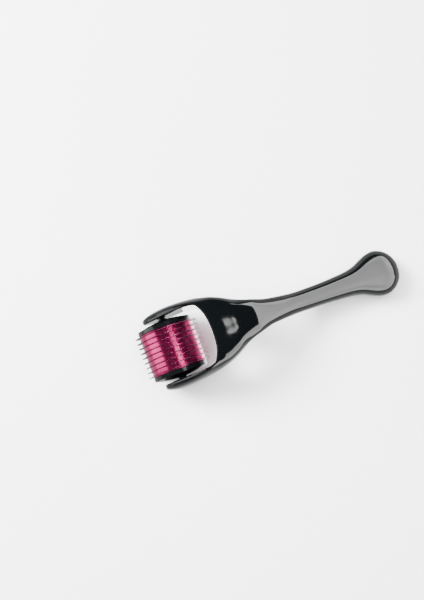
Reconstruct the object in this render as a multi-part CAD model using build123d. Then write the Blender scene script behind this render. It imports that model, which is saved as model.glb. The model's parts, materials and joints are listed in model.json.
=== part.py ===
from build123d import *
import math
import os

os.makedirs("parts", exist_ok=True)

# Derma roller: a drum of stacked needle discs and plastic rings that turns in a forked handle.
# Working frame: X runs from the drum axis back along the handle, Y along the drum axis, Z up.
# Every piece is moved on export so that the origin lies on the surface the roller rests on,
# under the middle of its length.

# --- Drum -------------------------------------------------------------------------------
NEEDLE_DISCS = 9
NEEDLES_PER_DISC = 60
RING_R = 12.0            # outside radius of the plastic rings and end caps
NEEDLE_OUT = 2.0         # needle length outside the rings
NEEDLE_BASE = 0.36       # needle width at the disc's rim
DISC_ROOT_R = 11.4       # disc rim between needles, hidden between the rings
DISC_T = 0.2             # etched sheet thickness
RING_W = 2.0             # ring between two needle discs
END_RING_W = 0.5         # ring between the last needle disc and an end cap
RING_EDGE = 0.2          # rounding of a ring's outer edges
CORE_FLATS = 7.0         # core shaft, across the flats of its hexagon
KEY_CLEARANCE = 0.05     # hexagon bores around the core shaft, each side
KEY_DEPTH = 1.3          # core shaft's reach into each end cap
KEY_END_GAP = 0.1        # left at the bottom of each cap's hexagon socket

# --- End caps and their stub axles --------------------------------------------------------
CAP_RIM_W = 1.9
CAP_RIM_EDGE = 0.3       # rounding of the rim's inner edge
CAP_DOME = 1.8           # how far the domed face bulges
COLLAR_R = 2.1           # thrust collar round each stub axle
COLLAR_OUT = 0.45        # collar height above the dome
STUB_R = 1.5
STUB_REACH = 2.4         # stub inside the fork arm
STUB_EDGE = 0.3
SPIN_CLEARANCE = 0.05    # radial, stub axle in its blind hole
END_PLAY = 0.25          # between each collar and its fork arm
BLIND_END_GAP = 0.2      # past the stub's end

# --- Handle -------------------------------------------------------------------------------
ARM_T = 3.9              # fork arm thickness at the drum axis
ARM_TIP_R = 8.8          # round end of each arm, about the drum axis
ARM_FRONT_ANGLE = 41.0   # slope of the arms' front edge, behind the tip
ARM_REAR_ANGLE = 31.5    # slope of the arms' rear edge
NEEDLE_CLEARANCE = 4.4   # free space between the needle tips and the plate behind and above them
OPENING_CORNER_R = 8.0
PLATE_T = 4.0            # plate over the head, joining the two arms
CHEEK_T = 3.4            # cheek beside the pocket under the plate
POCKET_LENGTH = 10.6     # pocket under the plate, behind the opening
POCKET_CORNER_R = 4.0
HEAD_LENGTH = 18.6       # opening's rear edge to the neck
NECK_WIDTH = 15.2
GRIP_LENGTH = 70.2       # neck to the end of the bulb
WAIST_WIDTH = 9.3
BULB_WIDTH = 20.6
BULB_DEPTH = 15.2
BULB_SHARE = 0.86        # the bulb's widest place, as a share of the grip's length
NOSE_SHARE = 0.4         # height of the bulb's end, as a share of its depth
SHELL_T = 1.8            # wall of the two hollow grip shells, at their sides
WALL_SLOPE = 1.15        # how much thicker the sloping top and bottom walls measure upright
SEAM_SETBACK = 0.3       # the seam's front end, behind the neck
SEAM_DROP = 1.6          # how far the seam dips at its front end
SECTION_POINTS = 32      # points that each cross-section's outline is drawn through

# --- Locating pegs between the grip shells ------------------------------------------------
PEG_SHARES = (0.3, 0.6, 0.88)    # places along the grip
PEG_R = 1.0
PEG_POST_R = 1.8
PEG_REACH = 1.8                   # peg above the seam
PEG_ROOT = 3.0                    # peg inside its own post, below the seam
PEG_CLEARANCE = 0.05
PEG_END_GAP = 0.2

needle_tip_r = RING_R + NEEDLE_OUT
row_pitch = DISC_T + RING_W
stack_half = (NEEDLE_DISCS * DISC_T + (NEEDLE_DISCS - 1) * RING_W) / 2 + END_RING_W
dome_apex = stack_half + CAP_RIM_W + CAP_DOME
collar_face = dome_apex + COLLAR_OUT
arm_inner = collar_face + END_PLAY
fork_half = arm_inner + ARM_T
opening_rear_x = needle_tip_r + NEEDLE_CLEARANCE
pocket_rear_x = opening_rear_x + POCKET_LENGTH
neck_x = opening_rear_x + HEAD_LENGTH
grip_end_x = neck_x + GRIP_LENGTH
hump_z = needle_tip_r + NEEDLE_CLEARANCE + PLATE_T
floor_z = -needle_tip_r
bulb_top = floor_z + BULB_DEPTH
arm_rise = math.radians(ARM_FRONT_ANGLE)
arm_drop = math.radians(ARM_REAR_ANGLE)
seat = Vector((needle_tip_r - grip_end_x) / 2, 0, needle_tip_r)


def save(name, shape):
    """Move a piece from the working frame to its place over the origin and write it."""
    export_step(Pos(seat) * shape, f"parts/{name}.step")


def along_y(y):
    """Plane across the drum axis at y, facing +Y."""
    return Plane(origin=(0, y, 0), x_dir=(1, 0, 0), z_dir=(0, 1, 0))


def drum_slice(sketch, y_low, width):
    """A sketch drawn across the drum axis, extruded towards +Y from y_low."""
    return extrude(along_y(y_low) * sketch, width)


def key_hexagon(clearance=0.0):
    return RegularPolygon(CORE_FLATS / 2 + clearance, 6, major_radius=False)


# --- Drum pieces --------------------------------------------------------------------------
def needle_disc(turn):
    """Flat etched star: a hexagon-bored disc with needles round its rim."""
    step = 2 * math.pi / NEEDLES_PER_DISC
    half_base = NEEDLE_BASE / 2 / DISC_ROOT_R
    outline = []
    for n in range(NEEDLES_PER_DISC):
        middle = n * step + turn * step
        for radius, angle in (
            (DISC_ROOT_R, middle - half_base),
            (needle_tip_r, middle),
            (DISC_ROOT_R, middle + half_base),
        ):
            outline.append((radius * math.cos(angle), radius * math.sin(angle)))
    return Polygon(*outline, align=None) - key_hexagon(KEY_CLEARANCE)


def plastic_ring(width):
    ring = Cylinder(RING_R, width)
    ring = fillet(ring.edges(), min(RING_EDGE, width / 2.5))
    ring -= extrude(key_hexagon(KEY_CLEARANCE), width, both=True)
    return ring


def end_cap():
    """Domed cap with its hexagon socket at y = 0 and its stub axle towards +Y."""
    face = CAP_RIM_W + CAP_DOME
    stub_end = COLLAR_OUT + END_PLAY + STUB_REACH
    outline = [
        Polyline((-RING_R, CAP_RIM_W), (-RING_R, 0), (RING_R, 0), (RING_R, CAP_RIM_W)),
        ThreePointArc((RING_R, CAP_RIM_W), (0, face), (-RING_R, CAP_RIM_W)),
    ]
    half_plane = Rectangle(2 * RING_R, 4 * RING_R, align=(Align.MIN, Align.CENTER))
    domed = revolve(make_face(outline) & half_plane, axis=Axis.Y)
    domed = chamfer(domed.edges().group_by(Axis.Y)[0], CAP_RIM_EDGE)
    collar = drum_slice(Circle(COLLAR_R), CAP_RIM_W, CAP_DOME + COLLAR_OUT)
    stub = drum_slice(Circle(STUB_R), face, stub_end)
    stub = chamfer(stub.edges().sort_by(Axis.Y)[-1], STUB_EDGE)
    socket = drum_slice(key_hexagon(KEY_CLEARANCE), 0, KEY_DEPTH + KEY_END_GAP)
    return domed + collar + stub - socket


for row in range(NEEDLE_DISCS):
    y_low = (row - (NEEDLE_DISCS - 1) / 2) * row_pitch - DISC_T / 2
    star = needle_disc(turn=0.5 * (row % 2))
    save(f"needle_disc_{row + 1}", drum_slice(star, y_low, DISC_T))

for gap in range(NEEDLE_DISCS - 1):
    y_mid = (gap - (NEEDLE_DISCS - 2) / 2) * row_pitch
    save(f"spacer_ring_{gap + 1}", along_y(y_mid).location * plastic_ring(RING_W))

for side, name in ((-1, "left"), (1, "right")):
    y_mid = side * (stack_half - END_RING_W / 2)
    save(f"end_ring_{name}", along_y(y_mid).location * plastic_ring(END_RING_W))

cap = Pos(0, stack_half, 0) * end_cap()
save("end_cap_right", cap)
save("end_cap_left", mirror(cap, about=Plane.XZ))

core_half = stack_half + KEY_DEPTH
save("core_shaft", drum_slice(key_hexagon(), -core_half, 2 * core_half))


# --- Handle form --------------------------------------------------------------------------
# Stations along the handle: distance behind the drum axis, half width, top, bottom, and how
# square the section is (2 is an ellipse). The head's stations stand where the outline bends.
def arm_rear_edge(x):
    """Height of the arms' straight rear edge, a tangent of their round tips."""
    return x * math.tan(arm_drop) - ARM_TIP_R / math.cos(arm_drop)


def head_stations():
    """The head narrows from the fork's width to the neck's by the shares given here."""
    taper = fork_half - NECK_WIDTH / 2
    rows = [
        (-ARM_TIP_R - 1.0, 0.14, hump_z - 19.2, 6.5),
        (0.0, 0.0, hump_z - 10.6, 6.5),
        (8.0, 0.05, hump_z - 4.1, 6.5),
        (opening_rear_x - 1.0, 0.2, hump_z - 0.3, 5.5),
        (opening_rear_x + 7.0, 0.485, hump_z - 0.2, 4.2),
        (opening_rear_x + 13.1, 0.81, hump_z - 1.3, 3.2),
    ]
    straight = [
        (x, fork_half - share * taper, top, arm_rear_edge(x), square) for x, share, top, square in rows
    ]
    return straight + [(neck_x, NECK_WIDTH / 2, hump_z - 3.2, arm_rear_edge(neck_x) - 1.3, 2.6)]


def grip_stations():
    waist = WAIST_WIDTH / 2
    bulb = BULB_WIDTH / 2
    rows = [
        (0.10, waist + 1.1, hump_z - 7.2, bulb_top + 5.7, 2.3),
        (0.20, waist + 0.35, hump_z - 11.8, bulb_top + 0.2, 2.2),
        (0.31, waist, bulb_top + 5.2, floor_z + 8.6, 2.2),
        (0.45, waist + 0.1, bulb_top + 2.5, floor_z + 6.0, 2.2),
        (0.60, waist + 0.7, bulb_top + 1.0, floor_z + 3.4, 2.2),
        (0.70, bulb - 4.1, bulb_top + 0.4, floor_z + 1.7, 2.2),
        (0.78, bulb - 1.6, bulb_top + 0.1, floor_z + 0.6, 2.2),
    ]
    return [(neck_x + share * GRIP_LENGTH, *rest) for share, *rest in rows]


def bulb_stations():
    """Rounded end: sections shrink round a quarter ellipse behind the bulb's widest place."""
    start = neck_x + BULB_SHARE * GRIP_LENGTH
    reach = grip_end_x - start
    nose = floor_z + NOSE_SHARE * BULB_DEPTH
    rows = []
    for degrees in (0, 28, 50, 68, 80):
        grow = math.cos(math.radians(degrees))
        x = start + reach * math.sin(math.radians(degrees))
        top = nose + (bulb_top - nose) * grow
        bottom = nose + (floor_z - nose) * grow
        rows.append((x, BULB_WIDTH / 2 * grow, top, bottom, 2.1))
    return rows


def section(x, half_width, top, bottom, square):
    """Closed, rounded cross-section of the handle at x."""
    middle = (top + bottom) / 2
    half_height = (top - bottom) / 2
    points = []
    for n in range(SECTION_POINTS):
        angle = 2 * math.pi * n / SECTION_POINTS
        c, s = math.cos(angle), math.sin(angle)
        reach = (abs(c) ** square + abs(s) ** square) ** (-1 / square)
        points.append((x, half_width * reach * c, middle + half_height * reach * s))
    return Face(Wire([Spline(points, periodic=True)]))


def side_region(outline):
    """Region of the XZ plane, swept across the whole width of the handle."""
    return extrude(Plane.XZ * outline, 2 * fork_half, both=True)


def plan_region(outline):
    """Region of the XY plane, swept through the whole height of the handle."""
    return extrude(outline, 2 * hump_z, both=True)


def arm_tip_region():
    """Round arm tips about the drum axis, and all that lies behind their tangent points."""
    far = 2 * grip_end_x
    front_x = -ARM_TIP_R * math.sin(arm_rise)
    front_z = ARM_TIP_R * math.cos(arm_rise)
    rear_x = ARM_TIP_R * math.sin(arm_drop)
    rear_z = -ARM_TIP_R * math.cos(arm_drop)
    behind = Polygon(
        (front_x, front_z),
        (front_x, far),
        (far, far),
        (far, -far),
        (rear_x, -far),
        (rear_x, rear_z),
        align=None,
    )
    return side_region(Circle(ARM_TIP_R) + behind)


def opening():
    """Fork opening: straight sides beside the drum and a rounded rear edge."""
    front_x = -2 * ARM_TIP_R
    length = opening_rear_x - front_x
    slot = Pos((opening_rear_x + front_x) / 2, 0) * Rectangle(length, 2 * arm_inner)
    rear_corners = slot.vertices().sort_by(Axis.X)[-2:]
    return plan_region(fillet(rear_corners, OPENING_CORNER_R))


def head_value(x, column):
    """A station value of the head at x, straight between its neighbours."""
    for before, after in zip(head_stations(), head_stations()[1:]):
        if before[0] <= x <= after[0]:
            share = (x - before[0]) / (after[0] - before[0])
            return before[column] + share * (after[column] - before[column])
    raise ValueError("outside the head")


def underside_pocket():
    """Hollow under the plate, between the cheeks that carry on from the fork arms."""
    front_x = opening_rear_x - OPENING_CORNER_R
    middle_x = (front_x + pocket_rear_x) / 2
    middle_y = head_value(middle_x, 1) - CHEEK_T
    rear_y = head_value(pocket_rear_x, 1) - CHEEK_T
    plan = Polygon(
        (front_x, -arm_inner),
        (front_x, arm_inner),
        (middle_x, middle_y),
        (pocket_rear_x, rear_y),
        (pocket_rear_x, -rear_y),
        (middle_x, -middle_y),
        align=None,
    )
    plan = fillet(plan.vertices().group_by(Axis.X)[-1], POCKET_CORNER_R)
    ceiling = [(x, head_value(x, 2) - PLATE_T) for x in (front_x, middle_x, pocket_rear_x)]
    side = Polygon(*ceiling, (pocket_rear_x, floor_z), (front_x, floor_z), align=None)
    return plan_region(plan) & side_region(side)


def stub_bores():
    """Blind holes for the stub axles, one in each fork arm."""
    depth = STUB_REACH + BLIND_END_GAP
    bore = drum_slice(Circle(STUB_R + SPIN_CLEARANCE), arm_inner, depth)
    return bore + mirror(bore, about=Plane.XZ)


# --- Grip shells --------------------------------------------------------------------------
def grip_rows():
    """Stations of the hollow grip, from just behind the neck to the bulb's end."""
    return grip_stations() + bulb_stations()


def cavity():
    """Hollow inside the grip, one wall thickness in from the outside."""
    rows = [
        (x, half_width - SHELL_T, top - SHELL_T * WALL_SLOPE, bottom + SHELL_T * WALL_SLOPE, square)
        for x, half_width, top, bottom, square in grip_stations() + bulb_stations()[:2]
    ]
    return loft([section(*row) for row in rows])


def seam_heights():
    """Places on the parting line between the two shells, halfway up the grip."""
    return [(x, (top + bottom) / 2) for x, _, top, bottom, _ in grip_rows()]


def below_seam():
    """Everything under the parting line, which drops out of the underside at the neck."""
    line = seam_heights()
    far = 2 * hump_z
    front = (neck_x + SEAM_SETBACK, line[0][1] - SEAM_DROP)
    end = line[-1]
    under = Polyline(end, (end[0] + far, end[1]), (end[0] + far, -far), (front[0], -far), front)
    return side_region(make_face([Spline(front, *line), *under.edges()]))


def upright(radius, x, low, high):
    return Pos(x, 0, (low + high) / 2) * Cylinder(radius, high - low)


outside = loft([section(*row) for row in head_stations() + grip_rows()])
lower_side = below_seam()
hollow = cavity()
bottom_shell = (outside & lower_side) - hollow
top_shell = (outside - lower_side) & arm_tip_region()
top_shell = top_shell - opening() - underside_pocket() - stub_bores() - hollow

for share in PEG_SHARES:
    x = neck_x + share * GRIP_LENGTH
    nearest = min(grip_rows(), key=lambda row: abs(row[0] - x))
    seam_z = (nearest[2] + nearest[3]) / 2
    root_z = seam_z - PEG_ROOT
    peg_z = seam_z + PEG_REACH
    post = upright(PEG_POST_R, x, 2 * floor_z, 2 * hump_z) & hollow
    top_shell += post - lower_side
    bottom_shell += post & lower_side
    top_shell -= upright(PEG_R + PEG_CLEARANCE, x, root_z, peg_z + PEG_END_GAP)
    bottom_shell += upright(PEG_R, x, root_z, peg_z)

save("handle_top_shell", top_shell)
save("handle_bottom_shell", bottom_shell)
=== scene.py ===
# %% [markdown]
# # A derma roller, built as a small product study
# The real object is a hand tool of three visible materials: a glossy black handle moulded in two
# shells, a drum of magenta plastic rings, and thin steel needle discs clamped between the rings.
# The CAD model already holds the sizes and the one joint. Here we load it as a fixed frame. The
# handle's two shells are drawn again as smooth surfaces; every other piece keeps its CAD shape and
# gets a finish.

import json
import math

import bmesh
import bpy
import numpy as np
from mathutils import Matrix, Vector


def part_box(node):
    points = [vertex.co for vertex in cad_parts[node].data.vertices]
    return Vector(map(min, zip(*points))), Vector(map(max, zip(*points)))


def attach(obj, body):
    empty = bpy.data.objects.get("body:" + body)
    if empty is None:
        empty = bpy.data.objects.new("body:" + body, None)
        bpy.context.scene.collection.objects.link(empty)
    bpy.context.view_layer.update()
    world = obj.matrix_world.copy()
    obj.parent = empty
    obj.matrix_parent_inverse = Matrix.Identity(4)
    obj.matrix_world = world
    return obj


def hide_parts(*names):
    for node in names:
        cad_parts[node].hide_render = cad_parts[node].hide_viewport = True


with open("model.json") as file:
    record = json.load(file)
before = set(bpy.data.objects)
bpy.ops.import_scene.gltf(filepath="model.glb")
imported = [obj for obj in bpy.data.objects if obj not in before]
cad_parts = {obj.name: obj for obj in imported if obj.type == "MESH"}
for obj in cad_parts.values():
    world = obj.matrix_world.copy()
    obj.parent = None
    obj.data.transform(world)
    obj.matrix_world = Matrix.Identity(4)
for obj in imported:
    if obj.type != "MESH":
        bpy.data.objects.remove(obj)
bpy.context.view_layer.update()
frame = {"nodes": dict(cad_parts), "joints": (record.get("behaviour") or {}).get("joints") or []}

MM = 0.001
DRUM_AXIS = Vector(frame["joints"][0]["pos_m"])
NODES = frame["nodes"]
print("nodes:", len(NODES), "drum axis at", [round(c, 4) for c in DRUM_AXIS])

# %% [markdown]
# ## Camera
# The view is from almost straight above. We could parent the camera to an empty and turn that,
# but three plain numbers (turn, height above the table, distance) say the same and are easy to
# change. The aim point is a little behind the drum, so the object sits low and left in the view.

# %% Camera
TURN = -20.4            # degrees round the table; the handle points up and to the right
ELEVATION = 84.0        # degrees above the table
DISTANCE = 0.380
LENS = 52.0
SENSOR_WIDTH = 36.0
NEAREST = 0.01          # nothing closer than this is drawn
AIM = DRUM_AXIS + Vector((0.0235, 0.0140, 0.0))


def aim_camera():
    data = bpy.data.cameras.new("product_camera")
    camera = bpy.data.objects.new("product_camera", data)
    bpy.context.scene.collection.objects.link(camera)
    turn, rise = math.radians(TURN), math.radians(ELEVATION)
    away = Vector((math.sin(turn) * math.cos(rise), -math.cos(turn) * math.cos(rise), math.sin(rise)))
    camera.location = AIM + away * DISTANCE
    camera.rotation_mode = "QUATERNION"
    camera.rotation_quaternion = (-away).to_track_quat("-Z", "Y")
    data.lens = LENS
    data.sensor_width = SENSOR_WIDTH
    data.clip_start = NEAREST
    bpy.context.scene.camera = camera
    return camera


camera = aim_camera()
print("camera at", [round(c, 3) for c in camera.location])

# %% [markdown]
# ## Node helpers
# Every finish below is a small node tree. Writing `links.new` and `nodes.new` again and again
# hides the idea of a material, so two helpers do the typing: one makes a node with its values,
# the other makes a material and hands back its shader.

# %% Node helpers


def add_node(tree, kind, inputs=(), **settings):
    """A node with its settings and, in inputs, values or links for its sockets."""
    node = tree.nodes.new(kind)
    for name, value in settings.items():
        setattr(node, name, value)
    for name, value in dict(inputs).items():
        if isinstance(value, bpy.types.NodeSocket):
            tree.links.new(value, node.inputs[name])
        else:
            node.inputs[name].default_value = value
    return node


def new_material(name):
    material = bpy.data.materials.new(name)
    material.use_nodes = True
    tree = material.node_tree
    return material, tree, tree.nodes["Principled BSDF"]


def ramp(tree, source, stops):
    """Colour ramp over a 0-1 source; stops are (place, colour)."""
    node = add_node(tree, "ShaderNodeValToRGB", {"Fac": source})
    elements = node.color_ramp.elements
    for element, (place, colour) in zip(elements, stops):
        element.position, element.color = place, colour
    for place, colour in stops[2:]:
        elements.new(place).color = colour
    return node.outputs["Color"]


def grey(value):
    return (value, value, value, 1.0)


def fine_noise(tree, scale, detail=4.0, roughness=0.55):
    """Noise in the object's own coordinates, so it stays put on the piece."""
    place = add_node(tree, "ShaderNodeTexCoord")
    return add_node(
        tree,
        "ShaderNodeTexNoise",
        {"Vector": place.outputs["Object"], "Scale": scale, "Detail": detail, "Roughness": roughness},
    ).outputs["Fac"]


# %% [markdown]
# ## Moulded gloss black
# The handle and the end caps are injection-moulded plastic with a polished skin. One flat black
# would look like a hole. What sells gloss plastic is a reflection that is very slightly disturbed:
# a faint "orange peel" from the mould, a few finger smears that widen the highlight, and a dusting
# of paler specks. All three come from noise at different scales. The specular level is set below
# its default, because at the default the sides seen at a grazing angle turned grey.

# %% Gloss black plastic
SPECK_LIGHT = 2.6       # how much paler a speck of dust is than the plastic
SMEAR_SPREAD = 0.07     # roughness that a finger smear adds to the polish


def gloss_black(name, base, polish):
    material, tree, shader = new_material(name)
    peel = fine_noise(tree, 420.0, 2.0)
    smears = fine_noise(tree, 46.0, 5.0, 0.62)
    specks = fine_noise(tree, 2600.0, 1.0)
    dust = ramp(tree, specks, [(0.71, grey(0.0)), (0.78, grey(1.0))])
    colour = add_node(tree, "ShaderNodeMix", {"Factor": dust}, data_type="RGBA")
    colour.inputs["A"].default_value = (*base, 1.0)
    colour.inputs["B"].default_value = (*(part * SPECK_LIGHT for part in base), 1.0)
    tree.links.new(colour.outputs["Result"], shader.inputs["Base Color"])
    rough = add_node(
        tree, "ShaderNodeMapRange",
        {"Value": smears, "From Min": 0.3, "From Max": 0.75,
         "To Min": polish, "To Max": polish + SMEAR_SPREAD},
    )
    tree.links.new(rough.outputs["Result"], shader.inputs["Roughness"])
    bump = add_node(tree, "ShaderNodeBump", {"Height": peel, "Strength": 0.05, "Distance": 0.00012})
    tree.links.new(bump.outputs["Normal"], shader.inputs["Normal"])
    shader.inputs["IOR"].default_value = 1.5
    shader.inputs["Specular IOR Level"].default_value = 0.38
    shader.inputs["Coat Weight"].default_value = 0.12
    shader.inputs["Coat Roughness"].default_value = 0.03
    return material


handle_black = gloss_black("handle_gloss_black", (0.0012, 0.0016, 0.0018), 0.05)
cap_black = gloss_black("cap_gloss_black", (0.0018, 0.0022, 0.0024), 0.085)
print("black plastics:", handle_black.name, "and", cap_black.name)

# %% [markdown]
# ## Magenta ring plastic
# The rings have a pearl finish: even their brightest reflections are pink. An ordinary plastic
# shader reflects white, and subsurface scattering would only soften the colour under that white.
# An almost fully metallic shader tints the reflection itself, as pearl pigments do, and a thin
# clear coat adds back a few white glints. Noise varies the tint and the roughness a little.

# %% Magenta plastic


def magenta_plastic(name):
    material, tree, shader = new_material(name)
    flow = fine_noise(tree, 240.0, 3.0)
    tint = ramp(tree, flow, [(0.25, (0.52, 0.020, 0.140, 1.0)), (0.8, (0.66, 0.036, 0.20, 1.0))])
    tree.links.new(tint, shader.inputs["Base Color"])
    rub = fine_noise(tree, 900.0, 4.0, 0.6)
    rough = add_node(
        tree, "ShaderNodeMapRange",
        {"Value": rub, "From Min": 0.3, "From Max": 0.7, "To Min": 0.17, "To Max": 0.27},
    )
    tree.links.new(rough.outputs["Result"], shader.inputs["Roughness"])
    bump = add_node(tree, "ShaderNodeBump", {"Height": rub, "Strength": 0.04, "Distance": 0.00002})
    tree.links.new(bump.outputs["Normal"], shader.inputs["Normal"])
    shader.inputs["Metallic"].default_value = 0.98
    shader.inputs["Coat Weight"].default_value = 0.12
    shader.inputs["Coat Roughness"].default_value = 0.08
    return material


ring_magenta = magenta_plastic("ring_magenta")
print("ring plastic:", ring_magenta.name)

# %% [markdown]
# ## Etched stainless steel
# The needle discs are etched from thin sheet, which leaves a fine satin grain on the flanks. A
# metal needs little more than a grey base, a roughness that wanders, and a grain bump.

# %% Etched steel


def etched_steel(name):
    material, tree, shader = new_material(name)
    grain = fine_noise(tree, 5200.0, 3.0)
    tone = ramp(tree, grain, [(0.2, (0.42, 0.41, 0.44, 1.0)), (0.85, (0.62, 0.60, 0.64, 1.0))])
    tree.links.new(tone, shader.inputs["Base Color"])
    rough = add_node(
        tree, "ShaderNodeMapRange",
        {"Value": grain, "From Min": 0.2, "From Max": 0.8, "To Min": 0.2, "To Max": 0.36},
    )
    tree.links.new(rough.outputs["Result"], shader.inputs["Roughness"])
    bump = add_node(tree, "ShaderNodeBump", {"Height": grain, "Strength": 0.15, "Distance": 0.00001})
    tree.links.new(bump.outputs["Normal"], shader.inputs["Normal"])
    shader.inputs["Metallic"].default_value = 1.0
    return material


needle_steel = etched_steel("needle_etched_steel")
print("needle steel:", needle_steel.name)

# %% [markdown]
# ## The handle's outline
# The handle is one flowing form, and the CAD model describes it with stations along its length.
# The stations here follow those closely, in millimetres. The length, height and reach are read
# from the frame, and the widths in between are listed.
# At each station the section is a "squircle": an ellipse when its power is 2, and boxier as the
# power grows. To ask for a point anywhere, we need the values between the stations too. A spline
# that never overshoots (PCHIP) keeps the outline free of bumps.

# %% Handle outline
top_low, top_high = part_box("handle_top_shell")
cover_low, cover_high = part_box("handle_bottom_shell")
NEEDLE_TIP_R = DRUM_AXIS.z / MM
FORK_HALF = 17.7
ARM_INNER = 13.8
ARM_TIP_R = (DRUM_AXIS.x - top_low.x) / MM
ARM_RISE, ARM_DROP = math.radians(41.0), math.radians(31.5)
HUMP = (top_high.z - DRUM_AXIS.z) / MM
FLOOR = -NEEDLE_TIP_R
END_X = (top_high.x - DRUM_AXIS.x) / MM
NECK_X = 37.0
GRIP = END_X - NECK_X
BULB_HALF = (cover_high.y - cover_low.y) / 2 / MM
BULB_DEPTH = 15.2
BULB_SHARE = 0.86       # the bulb's widest place, as a share of the grip's length
NOSE_SHARE = 0.4        # height of the bulb's end, as a share of its depth
BULB_TOP = FLOOR + BULB_DEPTH
WAIST_HALF = 4.65
NECK_HALF = 7.6
CHEEK_T = 3.4           # wall of the head beside its hollow
CHEEK_SLOPE = 0.19      # how fast the cheeks draw together behind the opening
WEB_T = 4.0             # thickness of the plate over the hollow
OPENING_REAR = 18.4
CORNER_R = 8.0          # rounding of the opening's two rear corners


def arm_rear_edge(x):
    return x * math.tan(ARM_DROP) - ARM_TIP_R / math.cos(ARM_DROP)


def handle_stations():
    """Rows of x behind the drum axis, half width, top, bottom and section power, in millimetres."""
    taper = FORK_HALF - NECK_HALF
    rows = [
        (-ARM_TIP_R - 1.0, 0.14, HUMP - 19.2, 6.5),
        (0.0, 0.0, HUMP - 10.6, 6.5),
        (8.0, 0.05, HUMP - 4.1, 6.5),
        (OPENING_REAR - 1.0, 0.2, HUMP - 0.3, 5.5),
        (OPENING_REAR + 7.0, 0.485, HUMP - 0.2, 4.2),
        (OPENING_REAR + 13.1, 0.81, HUMP - 1.3, 3.2),
    ]
    head = [(x, FORK_HALF - share * taper, top, arm_rear_edge(x), power) for x, share, top, power in rows]
    head.append((NECK_X, NECK_HALF, HUMP - 3.2, arm_rear_edge(NECK_X) - 1.3, 2.6))
    grip = [
        (0.10, WAIST_HALF + 1.1, HUMP - 7.2, BULB_TOP + 5.7, 2.3),
        (0.20, WAIST_HALF + 0.35, HUMP - 11.8, BULB_TOP + 0.2, 2.2),
        (0.31, WAIST_HALF, BULB_TOP + 5.2, FLOOR + 8.6, 2.2),
        (0.45, WAIST_HALF + 0.1, BULB_TOP + 2.5, FLOOR + 6.0, 2.2),
        (0.60, WAIST_HALF + 0.7, BULB_TOP + 1.0, FLOOR + 3.4, 2.2),
        (0.70, BULB_HALF - 4.1, BULB_TOP + 0.4, FLOOR + 1.7, 2.2),
        (0.78, BULB_HALF - 1.6, BULB_TOP + 0.1, FLOOR + 0.6, 2.2),
        (BULB_SHARE, BULB_HALF, BULB_TOP, FLOOR, 2.1),
    ]
    return head + [(NECK_X + share * GRIP, *rest) for share, *rest in grip]


STATIONS = np.array(handle_stations())


def spline_slopes(x, y):
    """Slopes of a shape-keeping cubic: zero at every local peak, a weighted mean elsewhere."""
    step = np.diff(x)
    rise = np.diff(y) / step
    slopes = np.zeros_like(y)
    slopes[0], slopes[-1] = rise[0], rise[-1]
    for i in range(1, len(x) - 1):
        if rise[i - 1] * rise[i] > 0:
            before, after = 2 * step[i] + step[i - 1], step[i] + 2 * step[i - 1]
            slopes[i] = (before + after) / (before / rise[i - 1] + after / rise[i])
    return slopes


SLOPES = [spline_slopes(STATIONS[:, 0], STATIONS[:, c]) for c in range(5)]


def station_value(column, x):
    """Value of one column of the stations at x, from the cubic between its two neighbours."""
    xs, ys, slopes = STATIONS[:, 0], STATIONS[:, column], SLOPES[column]
    i = int(np.clip(np.searchsorted(xs, x) - 1, 0, len(xs) - 2))
    step = xs[i + 1] - xs[i]
    t = min(1.0, max(0.0, (x - xs[i]) / step))
    h00, h10 = 2 * t**3 - 3 * t**2 + 1, t**3 - 2 * t**2 + t
    h01, h11 = -2 * t**3 + 3 * t**2, t**3 - t**2
    return h00 * ys[i] + h10 * step * slopes[i] + h01 * ys[i + 1] + h11 * step * slopes[i + 1]


def opening_half(x):
    """Half width of the fork opening at x."""
    start = OPENING_REAR - CORNER_R
    if x <= start:
        return ARM_INNER
    return ARM_INNER - CORNER_R + math.sqrt(max(0.0, CORNER_R**2 - (x - start) ** 2))


def cheek_face(x):
    """Inner face of the arms and cheeks, under the web of the opening's corners."""
    return ARM_INNER - CHEEK_SLOPE * max(0.0, x - (OPENING_REAR - CORNER_R))


BULB_START = NECK_X + BULB_SHARE * GRIP
NOSE = FLOOR + NOSE_SHARE * BULB_DEPTH


def section_sizes(x):
    """Half width, top, bottom and power of the section at x; a quarter ellipse rounds the end."""
    if x <= BULB_START:
        return tuple(station_value(c, x) for c in (1, 2, 3, 4))
    grow = math.sqrt(max(0.0, 1.0 - ((x - BULB_START) / (END_X - BULB_START)) ** 2))
    return BULB_HALF * grow, NOSE + (BULB_TOP - NOSE) * grow, NOSE + (FLOOR - NOSE) * grow, 2.1


def skin(x, degrees):
    """Point on the handle's outside at x; 0 degrees is the +Y side and 90 the top."""
    half_width, top, bottom, power = section_sizes(x)
    c, s = math.cos(math.radians(degrees)), math.sin(math.radians(degrees))
    reach = (abs(c) ** power + abs(s) ** power) ** (-1.0 / power)
    middle, half_height = (top + bottom) / 2, (top - bottom) / 2
    return (x, half_width * reach * c, middle + half_height * reach * s)


print("waist", [round(v, 1) for v in skin(60.0, 0)], "hump", [round(v, 1) for v in skin(20.0, 90)])

# %% [markdown]
# ## A subdivision cage that goes near given points
# A subdivision surface always shrinks inside its cage, so a cage drawn on the true outline gives a
# handle that is too thin. Sculptors push the cage outwards by eye. Here the computer does it: look
# at where each cage point ends up on the smooth surface, move it by part of the miss, and repeat.
# Many rounds would pass through every point, but they also ripple the gloss at the neck. Four
# rounds ripple it less, and stop up to about half a millimetre short. Each shell prints its miss.

# %% Fit a cage to its points
FIT_ROUNDS = 4
FIT_STEP = 0.8          # share of each miss that one round makes good
SMOOTH_LEVELS = 3


def to_frame(point):
    """Millimetres about the drum axis to metres in the frame."""
    return Vector(point) * MM + DRUM_AXIS


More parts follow.
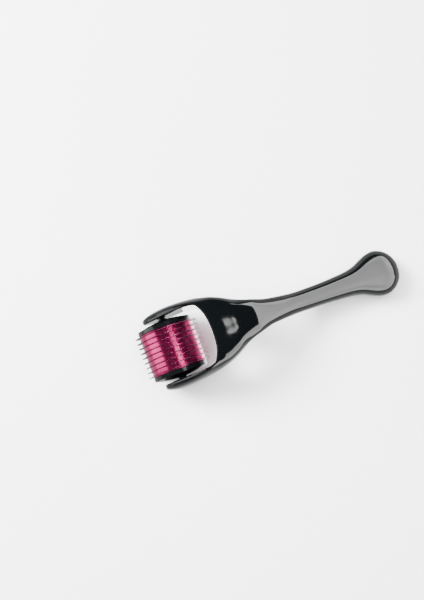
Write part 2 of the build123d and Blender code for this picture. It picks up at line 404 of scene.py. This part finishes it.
class Cage:
    """Points and quads of a subdivision cage, collected piece by piece."""

    def __init__(self, name):
        self.name, self.points, self.faces, self.creases = name, [], [], []

    def add(self, points):
        first = len(self.points)
        self.points += [tuple(p) for p in points]
        return list(range(first, len(self.points)))

    def bridge(self, a, b, closed=True):
        """Quads between two rows of the same length."""
        for n in range(len(a) if closed else len(a) - 1):
            m = (n + 1) % len(a)
            self.faces.append((a[n], a[m], b[m], b[n]))

    def crease(self, row, sharpness):
        """Holds the edges along a row of points tight."""
        self.creases += [(a, b, sharpness) for a, b in zip(row, row[1:])]


def cage_mesh(cage):
    """The cage as a mesh with its creases, and how many of its edges are left open."""
    mesh = bpy.data.meshes.new(cage.name)
    mesh.from_pydata([to_frame(p) for p in cage.points], [], cage.faces)
    build = bmesh.new()
    build.from_mesh(mesh)
    bmesh.ops.recalc_face_normals(build, faces=build.faces)
    sharp = build.edges.layers.float.new("crease_edge")
    build.verts.ensure_lookup_table()
    for a, b, value in cage.creases:
        edge = build.edges.get((build.verts[a], build.verts[b]))
        if edge is not None:
            edge[sharp] = value
    open_edges = sum(len(edge.link_faces) != 2 for edge in build.edges)
    build.to_mesh(mesh)
    build.free()
    return mesh, open_edges


def fit_to_points(piece, wanted):
    """Moves the cage so that its smooth surface nears the wanted points; gives the worst miss."""
    mesh, count = piece.data, len(wanted)
    for _ in range(FIT_ROUNDS):
        smooth = piece.evaluated_get(bpy.context.evaluated_depsgraph_get()).data
        reached = np.zeros(len(smooth.vertices) * 3)
        smooth.vertices.foreach_get("co", reached)
        cage_now = np.zeros(count * 3)
        mesh.vertices.foreach_get("co", cage_now)
        miss = wanted - reached.reshape(-1, 3)[:count]
        mesh.vertices.foreach_set("co", (cage_now.reshape(-1, 3) + FIT_STEP * miss).ravel())
        mesh.update()
    return float(np.abs(miss).max() / MM)


def piece_from_cage(cage):
    mesh, open_edges = cage_mesh(cage)
    piece = bpy.data.objects.new(cage.name, mesh)
    bpy.context.scene.collection.objects.link(piece)
    smooth = piece.modifiers.new("smooth", "SUBSURF")
    smooth.levels = smooth.render_levels = 1
    smooth.use_limit_surface = True
    worst = fit_to_points(piece, np.array([to_frame(p) for p in cage.points]))
    smooth.levels = smooth.render_levels = SMOOTH_LEVELS
    mesh.shade_smooth()
    print(f"{cage.name}: {len(cage.points)} points, {len(cage.faces)} quads, {open_edges} open edges,",
          f"last miss {worst:.3f} mm")
    return piece


# %% [markdown]
# ## Rings for the handle
# Think of a tube of 18 points per ring, mirrored left and right. In the grip the ring is a "D":
# the round outside and the flat parting plane. Under the head the same ring folds into an "n", a
# thin plate with a cheek on each side. At the opening the plate ends and each cheek carries on
# alone as a fork arm with 8 points per ring. Keeping one point order throughout means that every
# face is a quad, which helps a highlight to run on. A small lump is left under the neck, where the
# "n" closes up into a solid section.

# %% Ring helpers


def mirrored(points):
    return [(x, -y, z) for x, y, z in points]


def full_ring(outer, inner):
    """18 points: five outer pairs and the top middle, three inner pairs and the bottom middle."""
    left_outer = mirrored(outer[:5])[::-1]
    left_inner = mirrored(inner[:3])
    return outer + left_outer + left_inner + [inner[3]] + inner[:3][::-1]


# Places in a full ring: the points that an arm carries on, and the quads that close a face.
RIGHT_ARM = [0, 1, 2, 3, 4, 15, 16, 17]
LEFT_ARM = [10, 9, 8, 7, 6, 13, 12, 11]
SIDES = (0, 10)
PLATE_FRONT = [(4, 5, 14, 15), (5, 6, 13, 14)]
END_QUADS = [(0, 1, 16, 17), (1, 2, 15, 16), (2, 3, 4, 15), (4, 5, 14, 15),
             (5, 6, 13, 14), (6, 7, 8, 13), (8, 9, 12, 13), (9, 10, 11, 12)]


def solid_ring(x, side_angle):
    """Section right through the handle, with the side point at side_angle."""
    spread = (0.0, 0.22, 0.44, 0.66, 0.84, 1.0)
    outer = [skin(x, side_angle + share * (90 - side_angle)) for share in spread]
    below = [skin(x, side_angle - share * (90 + side_angle)) for share in (0.25, 0.5, 0.75, 1.0)]
    return full_ring(outer, below)


def seam_height(x):
    _, top, bottom, _ = section_sizes(x)
    return (top + bottom) / 2


SEAM_GAP = 0.07         # half the fine line left open between the two shells
SHOULDER_SHARE = 0.66   # where the plate starts to bend down, as a share of the hollow's half width
CHEEK_FOOT = 0.9        # height of the cheeks' lower inside edge above their outside edge
CHEEK_DRAFT = 0.2       # how much the cheeks' inside leans in
DRAFT_HEIGHT = 0.6      # height of the leaning point, as a share of the hollow's


def half_ring(x, upper):
    """D-shaped section of one grip shell, with its flat side on the parting plane."""
    sign = 1 if upper else -1
    outer = [skin(x, sign * angle) for angle in (0.8, 18, 36, 54, 72, 90)]
    width = outer[0][1]
    flat = seam_height(x) + sign * SEAM_GAP
    outer[0] = (x, width, flat)
    inner = [(x, width * share, flat) for share in (0.78, 0.52, 0.26, 0.0)]
    return full_ring(outer, inner)


def n_ring(x, plate_x=None, shoulder_x=None, fill=0.0, dip=0.0):
    """Plate and two cheeks under the head.

    plate_x and shoulder_x move the plate's points along, fill brings the hollow's ceiling down,
    and dip lowers the plate's top.
    """
    half_width, _, bottom, _ = section_sizes(x)
    middle_x = plate_x or x
    shoulder = shoulder_x or middle_x
    top = section_sizes(middle_x)[1] - dip
    ceiling = (top - WEB_T) * (1 - fill) + bottom * fill
    wall = half_width - CHEEK_T
    outer = [skin(x, angle) for angle in (-47, -16, 14, 43)]
    outer += [(shoulder, wall * SHOULDER_SHARE, skin(shoulder, 68)[2] - dip), (middle_x, 0.0, top)]
    inner = [
        (x, wall, bottom + CHEEK_FOOT),
        (x, wall - CHEEK_DRAFT, bottom * (1 - DRAFT_HEIGHT) + ceiling * DRAFT_HEIGHT),
        (shoulder, wall * SHOULDER_SHARE, ceiling),
        (middle_x, 0.0, ceiling),
    ]
    return full_ring(outer, inner)


# %% [markdown]
# The fork arms lean forwards and end in a half circle about the drum's axle, so their rings are
# set square to the arm instead of upright. Each ring is given by the places where it meets the
# arm's rear edge and its front edge.

# %% Fork arm rings
ARM_LEAN = (ARM_RISE + ARM_DROP) / 2
ARM_SHARES = (0.07, 0.36, 0.66, 0.93)     # places across the arm, from its rear edge to its front
OPENING_SHARE = 0.8     # in front of this share the inner face follows the opening's round corner
ARM_PILLOW = 0.45       # how far the outer face falls away at its two edges
INNER_PULL = 0.6        # share of the pull that the inner face gets
FRONT_DROP = 0.25       # how far the softened front edge drops, as a share of its softening


def tip_edges(degrees):
    """Rear and front edge points of the round tip; 90 degrees is abreast of the axle."""
    along = -ARM_TIP_R * math.cos(math.radians(degrees))
    across = ARM_TIP_R * math.sin(math.radians(degrees))
    c, s = math.cos(ARM_LEAN), math.sin(ARM_LEAN)
    rear = (along * c + across * s, along * s - across * c)
    front = (along * c - across * s, along * s + across * c)
    return rear, front


def arm_ring(rear, front, pull=0.0, soft=1.8):
    """8 points of one arm: outer face from rear to front edge, then the inner face back.

    pull thins the arm towards its tip, and soft rounds the outer face's front edge.
    """
    outer, inner = [], []
    for share in ARM_SHARES:
        x = rear[0] + share * (front[0] - rear[0])
        z = rear[1] + share * (front[1] - rear[1])
        pillow = ARM_PILLOW * (2 * share - 1) ** 2
        outer.append((x, section_sizes(x)[0] - pillow - pull, z))
        face = opening_half(x) if share > OPENING_SHARE else cheek_face(x)
        inner.append((x, face + pull * INNER_PULL, z))
    x, y, z = outer[3]
    outer[3] = (x, y - soft, z - FRONT_DROP * soft)
    return outer + inner[::-1]


# %% [markdown]
# ## Upper shell: fork, plate, neck and the top of the grip
# One arm is built as a row of rings and mirrored. The last arm ring meets the first full ring at
# the opening's rear corner. From there full rings run back to the bulb's end. Creases hold the
# edges that a mould would leave: the rims of the arms, the opening and the seam.

# %% Upper shell
SHELL_FRONT = 37.6      # where the lower shell starts under the neck
GRIP_PLACES = (38.8, 42.5, 46.5, 51.5, 57, 63, 70, 77, 83, 88, 92.5, 97, 100.5, 103.3, 105.4, 106.6)
TIP_ANGLES = (14, 34, 60, 90)
ARM_REAR, ARM_FRONT = (8.6, 12.2, 15.8), (1.2, 7.6, 13.6)
ARM_PULLS = (0.35, 0.15, 0.0, 0.0, 0.0, 0.0, 0.0)
ARM_SOFTENING = (0.2, 0.3, 0.5, 0.7, 0.9, 1.2, 1.5)
CORNER_REAR, CORNER_FRONT = 18.6, 16.9
PLATE_RIM = HUMP - 0.9  # height of the opening's rim at its rear corners


def corner_ring():
    """Last ring of an arm, whose front edge lies on the opening's round corner."""
    ring = arm_ring((CORNER_REAR, arm_rear_edge(CORNER_REAR)), (CORNER_FRONT, PLATE_RIM))
    x = OPENING_REAR - CORNER_R * (1 - math.sqrt(0.5))
    ring[4] = (x, opening_half(x), ring[4][2])
    ring[5] = (x, opening_half(x), PLATE_RIM - WEB_T)
    return ring


def arm_rings():
    """Rings of one arm, from its round tip back to the opening's corner."""
    front_line = [(x, section_sizes(x)[1]) for x in ARM_FRONT]
    rear_line = [(x, arm_rear_edge(x)) for x in ARM_REAR]
    edges = [tip_edges(angle) for angle in TIP_ANGLES] + list(zip(rear_line, front_line))
    rings = [arm_ring(*edge, pull, soft) for edge, pull, soft in zip(edges, ARM_PULLS, ARM_SOFTENING)]
    return rings + [corner_ring()]


def head_rings():
    """From the plate's front to the neck; the last of them stands where the lower shell starts."""
    return [
        n_ring(21.3, OPENING_REAR, OPENING_REAR - 0.45, dip=0.5),
        n_ring(24.8, 22.6),
        n_ring(27.8, fill=0.45),
        solid_ring(31.2, -32),
        solid_ring(34.4, -16),
        solid_ring(SHELL_FRONT - 0.3, -5),
    ]


def hold_arm_edges(cage, arm):
    for n, tight in ((4, 0.5), (0, 0.4), (7, 0.5)):
        cage.crease([ring[n] for ring in arm], tight)
    cage.crease(arm[0][:4], 0.5)
    cage.crease(arm[0][4:], 0.5)


def hold_plate_front(cage, right, left, first):
    """Upper and lower rim of the opening's rear side; first is the full ring behind it."""
    for row in ([right[-1][4], first[4], first[5], first[6], left[-1][4]],
                [right[-1][5], first[15], first[14], first[13], left[-1][5]]):
        cage.crease(row, 0.4)


def upper_shell():
    cage = Cage("handle_upper_shell")
    rows, heads = arm_rings(), head_rings()
    right = [cage.add(row) for row in rows]
    left = [cage.add(mirrored(row)) for row in rows]
    for arm in (right, left):
        tip = arm[0]
        cage.faces += [(tip[n], tip[n + 1], tip[6 - n], tip[7 - n]) for n in range(3)]
        for a, b in zip(arm, arm[1:]):
            cage.bridge(a, b)
    full = [cage.add(ring) for ring in heads + [half_ring(x, True) for x in GRIP_PLACES]]
    for a, b in zip(full, full[1:]):
        cage.bridge(a, b)
    for arm, picks in ((right, RIGHT_ARM), (left, LEFT_ARM)):
        cage.bridge(arm[-1], [full[0][n] for n in picks])
    cage.faces += [tuple(full[0][n] for n in quad) for quad in PLATE_FRONT]
    cage.faces += [tuple(full[-1][n] for n in quad) for quad in END_QUADS]
    for side in SIDES:
        cage.crease([ring[side] for ring in full[len(heads):]], 0.9)
    under = full[len(heads) - 1]
    cage.crease(under[10:] + under[:1], 0.8)
    hold_arm_edges(cage, right)
    hold_arm_edges(cage, left)
    hold_plate_front(cage, right, left, full[0])
    return piece_from_cage(cage)


handle_upper = upper_shell()
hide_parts("handle_top_shell")
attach(handle_upper, "handle")
handle_upper.data.materials.append(handle_black)

# %% [markdown]
# ## Lower shell: the cover under the grip
# The cover is the other half of the same outline. It has the same rings turned upside down, so the
# two shells meet along one fine line, as two mouldings do.

# %% Lower shell


def lower_shell():
    cage = Cage("handle_lower_shell")
    full = [cage.add(half_ring(x, False)) for x in (SHELL_FRONT, *GRIP_PLACES)]
    for a, b in zip(full, full[1:]):
        cage.bridge(a, b)
    for ring in (full[0], full[-1]):
        cage.faces += [tuple(ring[n] for n in quad) for quad in END_QUADS]
    for side in SIDES:
        cage.crease([ring[side] for ring in full], 0.9)
    cage.crease(full[0][:11], 0.9)
    return piece_from_cage(cage)


handle_lower = lower_shell()
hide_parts("handle_bottom_shell")
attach(handle_lower, "handle")
handle_lower.data.materials.append(handle_black)

# %% [markdown]
# ## Finishes on the CAD pieces
# The caps, rings, discs and core are round or flat machine-made parts, so the CAD's own shapes are
# already right. They keep their meshes and only get a finish, picked by how their name starts.

# %% Finishes on the CAD pieces
FINISHES = {"end_cap": cap_black, "spacer_ring": ring_magenta, "end_ring": ring_magenta,
            "needle_disc": needle_steel, "core_shaft": cap_black}
finished = []
for node_name, node in NODES.items():
    for start, material in FINISHES.items():
        if node_name.startswith(start):
            node.data.materials.clear()
            node.data.materials.append(material)
            finished.append(node_name)
print("CAD pieces finished:", len(finished))

# %% [markdown]
# ## Table
# A pale, slightly rough sheet. Glossy rays don't see it: a lit white table mirrored in the black
# sides turned them grey. A dimmer card, `table_shine`, takes its place in the reflections below.

# %% Table


def flat_panel(name, corners, material):
    mesh = bpy.data.meshes.new(name)
    mesh.from_pydata([Vector(c) for c in corners], [], [tuple(range(len(corners)))])
    mesh.materials.append(material)
    panel = bpy.data.objects.new(name, mesh)
    bpy.context.scene.collection.objects.link(panel)
    return panel


def pale_table():
    material, tree, shader = new_material("pale_table")
    wash = fine_noise(tree, 3.0, 2.0)
    tone = ramp(tree, wash, [(0.3, (0.83, 0.83, 0.85, 1.0)), (0.7, (0.87, 0.87, 0.88, 1.0))])
    tree.links.new(tone, shader.inputs["Base Color"])
    shader.inputs["Roughness"].default_value = 0.6
    shader.inputs["Specular IOR Level"].default_value = 0.15
    return material


def level_panel(x_low, x_high, y_low, y_high, z):
    return [(x_low, y_low, z), (x_high, y_low, z), (x_high, y_high, z), (x_low, y_high, z)]


TABLE_REACH = 1.6
table = flat_panel(
    "table_top", level_panel(-TABLE_REACH, TABLE_REACH, -TABLE_REACH, TABLE_REACH, 0.0), pale_table()
)
table.visible_glossy = False
print("table:", 2 * TABLE_REACH, "m square")

# %% [markdown]
# ## Light for the shapes, cards for the gloss
# Gloss black shows almost nothing but reflections, so it is lit twice: soft lamps make the shadow
# and the colours, and white cards are placed where the plastic should look bright. In Blender the
# two jobs can be split cleanly. The lamps are hidden from glossy rays, and the cards are hidden
# from the camera and from diffuse rays, so moving one never spoils the other.

# %% Lamps


def soft_lamp(name, place, size, power):
    """White square lamp that points at the middle of the table."""
    data = bpy.data.lights.new(name, "AREA")
    data.shape, data.size, data.size_y = "RECTANGLE", size, size
    data.energy = power
    lamp = bpy.data.objects.new(name, data)
    bpy.context.scene.collection.objects.link(lamp)
    lamp.location = Vector(place)
    lamp.rotation_mode = "QUATERNION"
    lamp.rotation_quaternion = (-lamp.location).to_track_quat("-Z", "Y")
    lamp.visible_glossy = False
    return lamp


soft_lamp("key_lamp", (-0.42, 0.40, 0.62), 0.34, 38.0)
soft_lamp("top_lamp", (0.05, 0.10, 0.95), 1.10, 40.0)

# %% [markdown]
# ## Reflection cards
# Each card brightens one part of the gloss. They are placed for this camera, so they say nothing
# about the shape under them. From other sides the highlights are only plausible.
#
# - `grip_card` hangs level above the grip and gives its broad bright top.
# - `near_side_card` stands beside the handle and draws the line along its near side.
# - `drum_card` and `arm_card` stand in front: one for the drum's band, one for the arm's edge.
# - `window_card` is a soft cloud shape above, mirrored in the plate.
# - `table_shine` stands in for the table, and `gap_card` brightens it under the opening.

# %% Reflection cards


def glow(name, strength, clouded=0.2):
    """Emission with slow, cloudy changes, as a lamp behind a cloth gives."""
    material = bpy.data.materials.new(name)
    material.use_nodes = True
    tree = material.node_tree
    tree.nodes.clear()
    clouds = fine_noise(tree, 16.0, 1.5)
    power = add_node(
        tree, "ShaderNodeMapRange",
        {"Value": clouds, "From Min": 0.3, "From Max": 0.7,
         "To Min": (1 - clouded) * strength, "To Max": (1 + clouded) * strength},
    )
    lit = add_node(tree, "ShaderNodeEmission", {"Strength": power.outputs["Result"]})
    out = add_node(tree, "ShaderNodeOutputMaterial")
    tree.links.new(lit.outputs["Emission"], out.inputs["Surface"])
    return material


def card(name, corners, strength, clouded=0.2):
    """A glowing panel that only mirror-like surfaces see."""
    panel = flat_panel(name, corners, glow(name + "_glow", strength, clouded))
    panel.visible_camera = False
    panel.visible_diffuse = False
    panel.visible_shadow = False
    panel.visible_transmission = False
    return panel


def upright_panel(x_low, x_high, y_low, y_high, z_low, z_high):
    """Panel across X that leans from x_low at its foot to x_high at its top."""
    foot = [(x_low, y_low, z_low), (x_low, y_high, z_low)]
    return foot + [(x_high, y_high, z_high), (x_high, y_low, z_high)]


def window_panel():
    """The cloud's outline is in millimetres about its own middle."""
    middle_x, middle_y, height = WINDOW_PLACE
    return [(middle_x + x * MM, middle_y + y * MM, height) for x, y in WINDOW_SHAPE]


GRIP_CARD = [(0.0195, -0.016, 0.05), (0.40, -0.30, 0.05), (0.40, 0.34, 0.05), (0.0195, 0.047, 0.05)]
SIDE_CARD = [(-0.05, -0.12, 0.02), (0.40, -0.12, 0.02), (0.40, -0.12, 0.20), (-0.05, -0.12, 0.20)]
WINDOW_PLACE = (0.058, 0.010, 0.30)
WINDOW_SHAPE = (
    (-64, 7), (-32, 10), (-6, 6), (24, 11), (62, 7), (46, -2), (10, -10), (-22, -10), (-50, -2),
)
SHINE_REACH = 1.5
CARDS = {
    "grip_card": (GRIP_CARD, 10.0),
    "near_side_card": (SIDE_CARD, 9.0),
    "drum_card": (upright_panel(-0.105, -0.095, -0.006, 0.018, 0.015, 0.065), 3.4),
    "arm_card": (upright_panel(-0.105, -0.105, 0.021, 0.032, 0.028, 0.050), 5.0),
    "window_card": (window_panel(), 12.0),
    "table_shine": (level_panel(-SHINE_REACH, SHINE_REACH, -SHINE_REACH, SHINE_REACH, 0.0002), 1.0),
    "gap_card": (level_panel(-0.037, -0.012, -0.013, 0.013, 0.0004), 6.0),
}
for card_name, (corners, strength) in CARDS.items():
    card(card_name, corners, strength)
print("cards:", list(CARDS))

# %% [markdown]
# ## Backdrop
# From low angles the camera sees past the table. A ring of pale panels, hidden from every ray but
# the camera's, stands in for the studio wall; the world itself stays dim, so the gloss keeps its
# deep black between the cards.

# %% Backdrop
WALL_R, WALL_H, WALL_SIDES, WALL_GLOW = 1.5, 2.2, 24, 2.4
WORLD_COLOUR, WORLD_STRENGTH = (0.88, 0.92, 1.0, 1.0), 0.06


def wall_foot(n):
    angle = 2 * math.pi * n / WALL_SIDES
    return WALL_R * math.cos(angle), WALL_R * math.sin(angle)


def studio_wall():
    for n in range(WALL_SIDES):
        (ax, ay), (bx, by) = wall_foot(n), wall_foot(n + 1)
        corners = [(ax, ay, 0), (bx, by, 0), (bx, by, WALL_H), (ax, ay, WALL_H)]
        wall = card(f"studio_wall_{n}", corners, WALL_GLOW, 0.0)
        wall.visible_camera = True
        wall.visible_glossy = False


def dim_world():
    world = bpy.data.worlds.new("dim_studio")
    bpy.context.scene.world = world
    world.use_nodes = True
    backdrop = world.node_tree.nodes["Background"]
    backdrop.inputs["Color"].default_value = WORLD_COLOUR
    backdrop.inputs["Strength"].default_value = WORLD_STRENGTH


studio_wall()
dim_world()
print("wall panels:", WALL_SIDES, "world strength:", WORLD_STRENGTH)
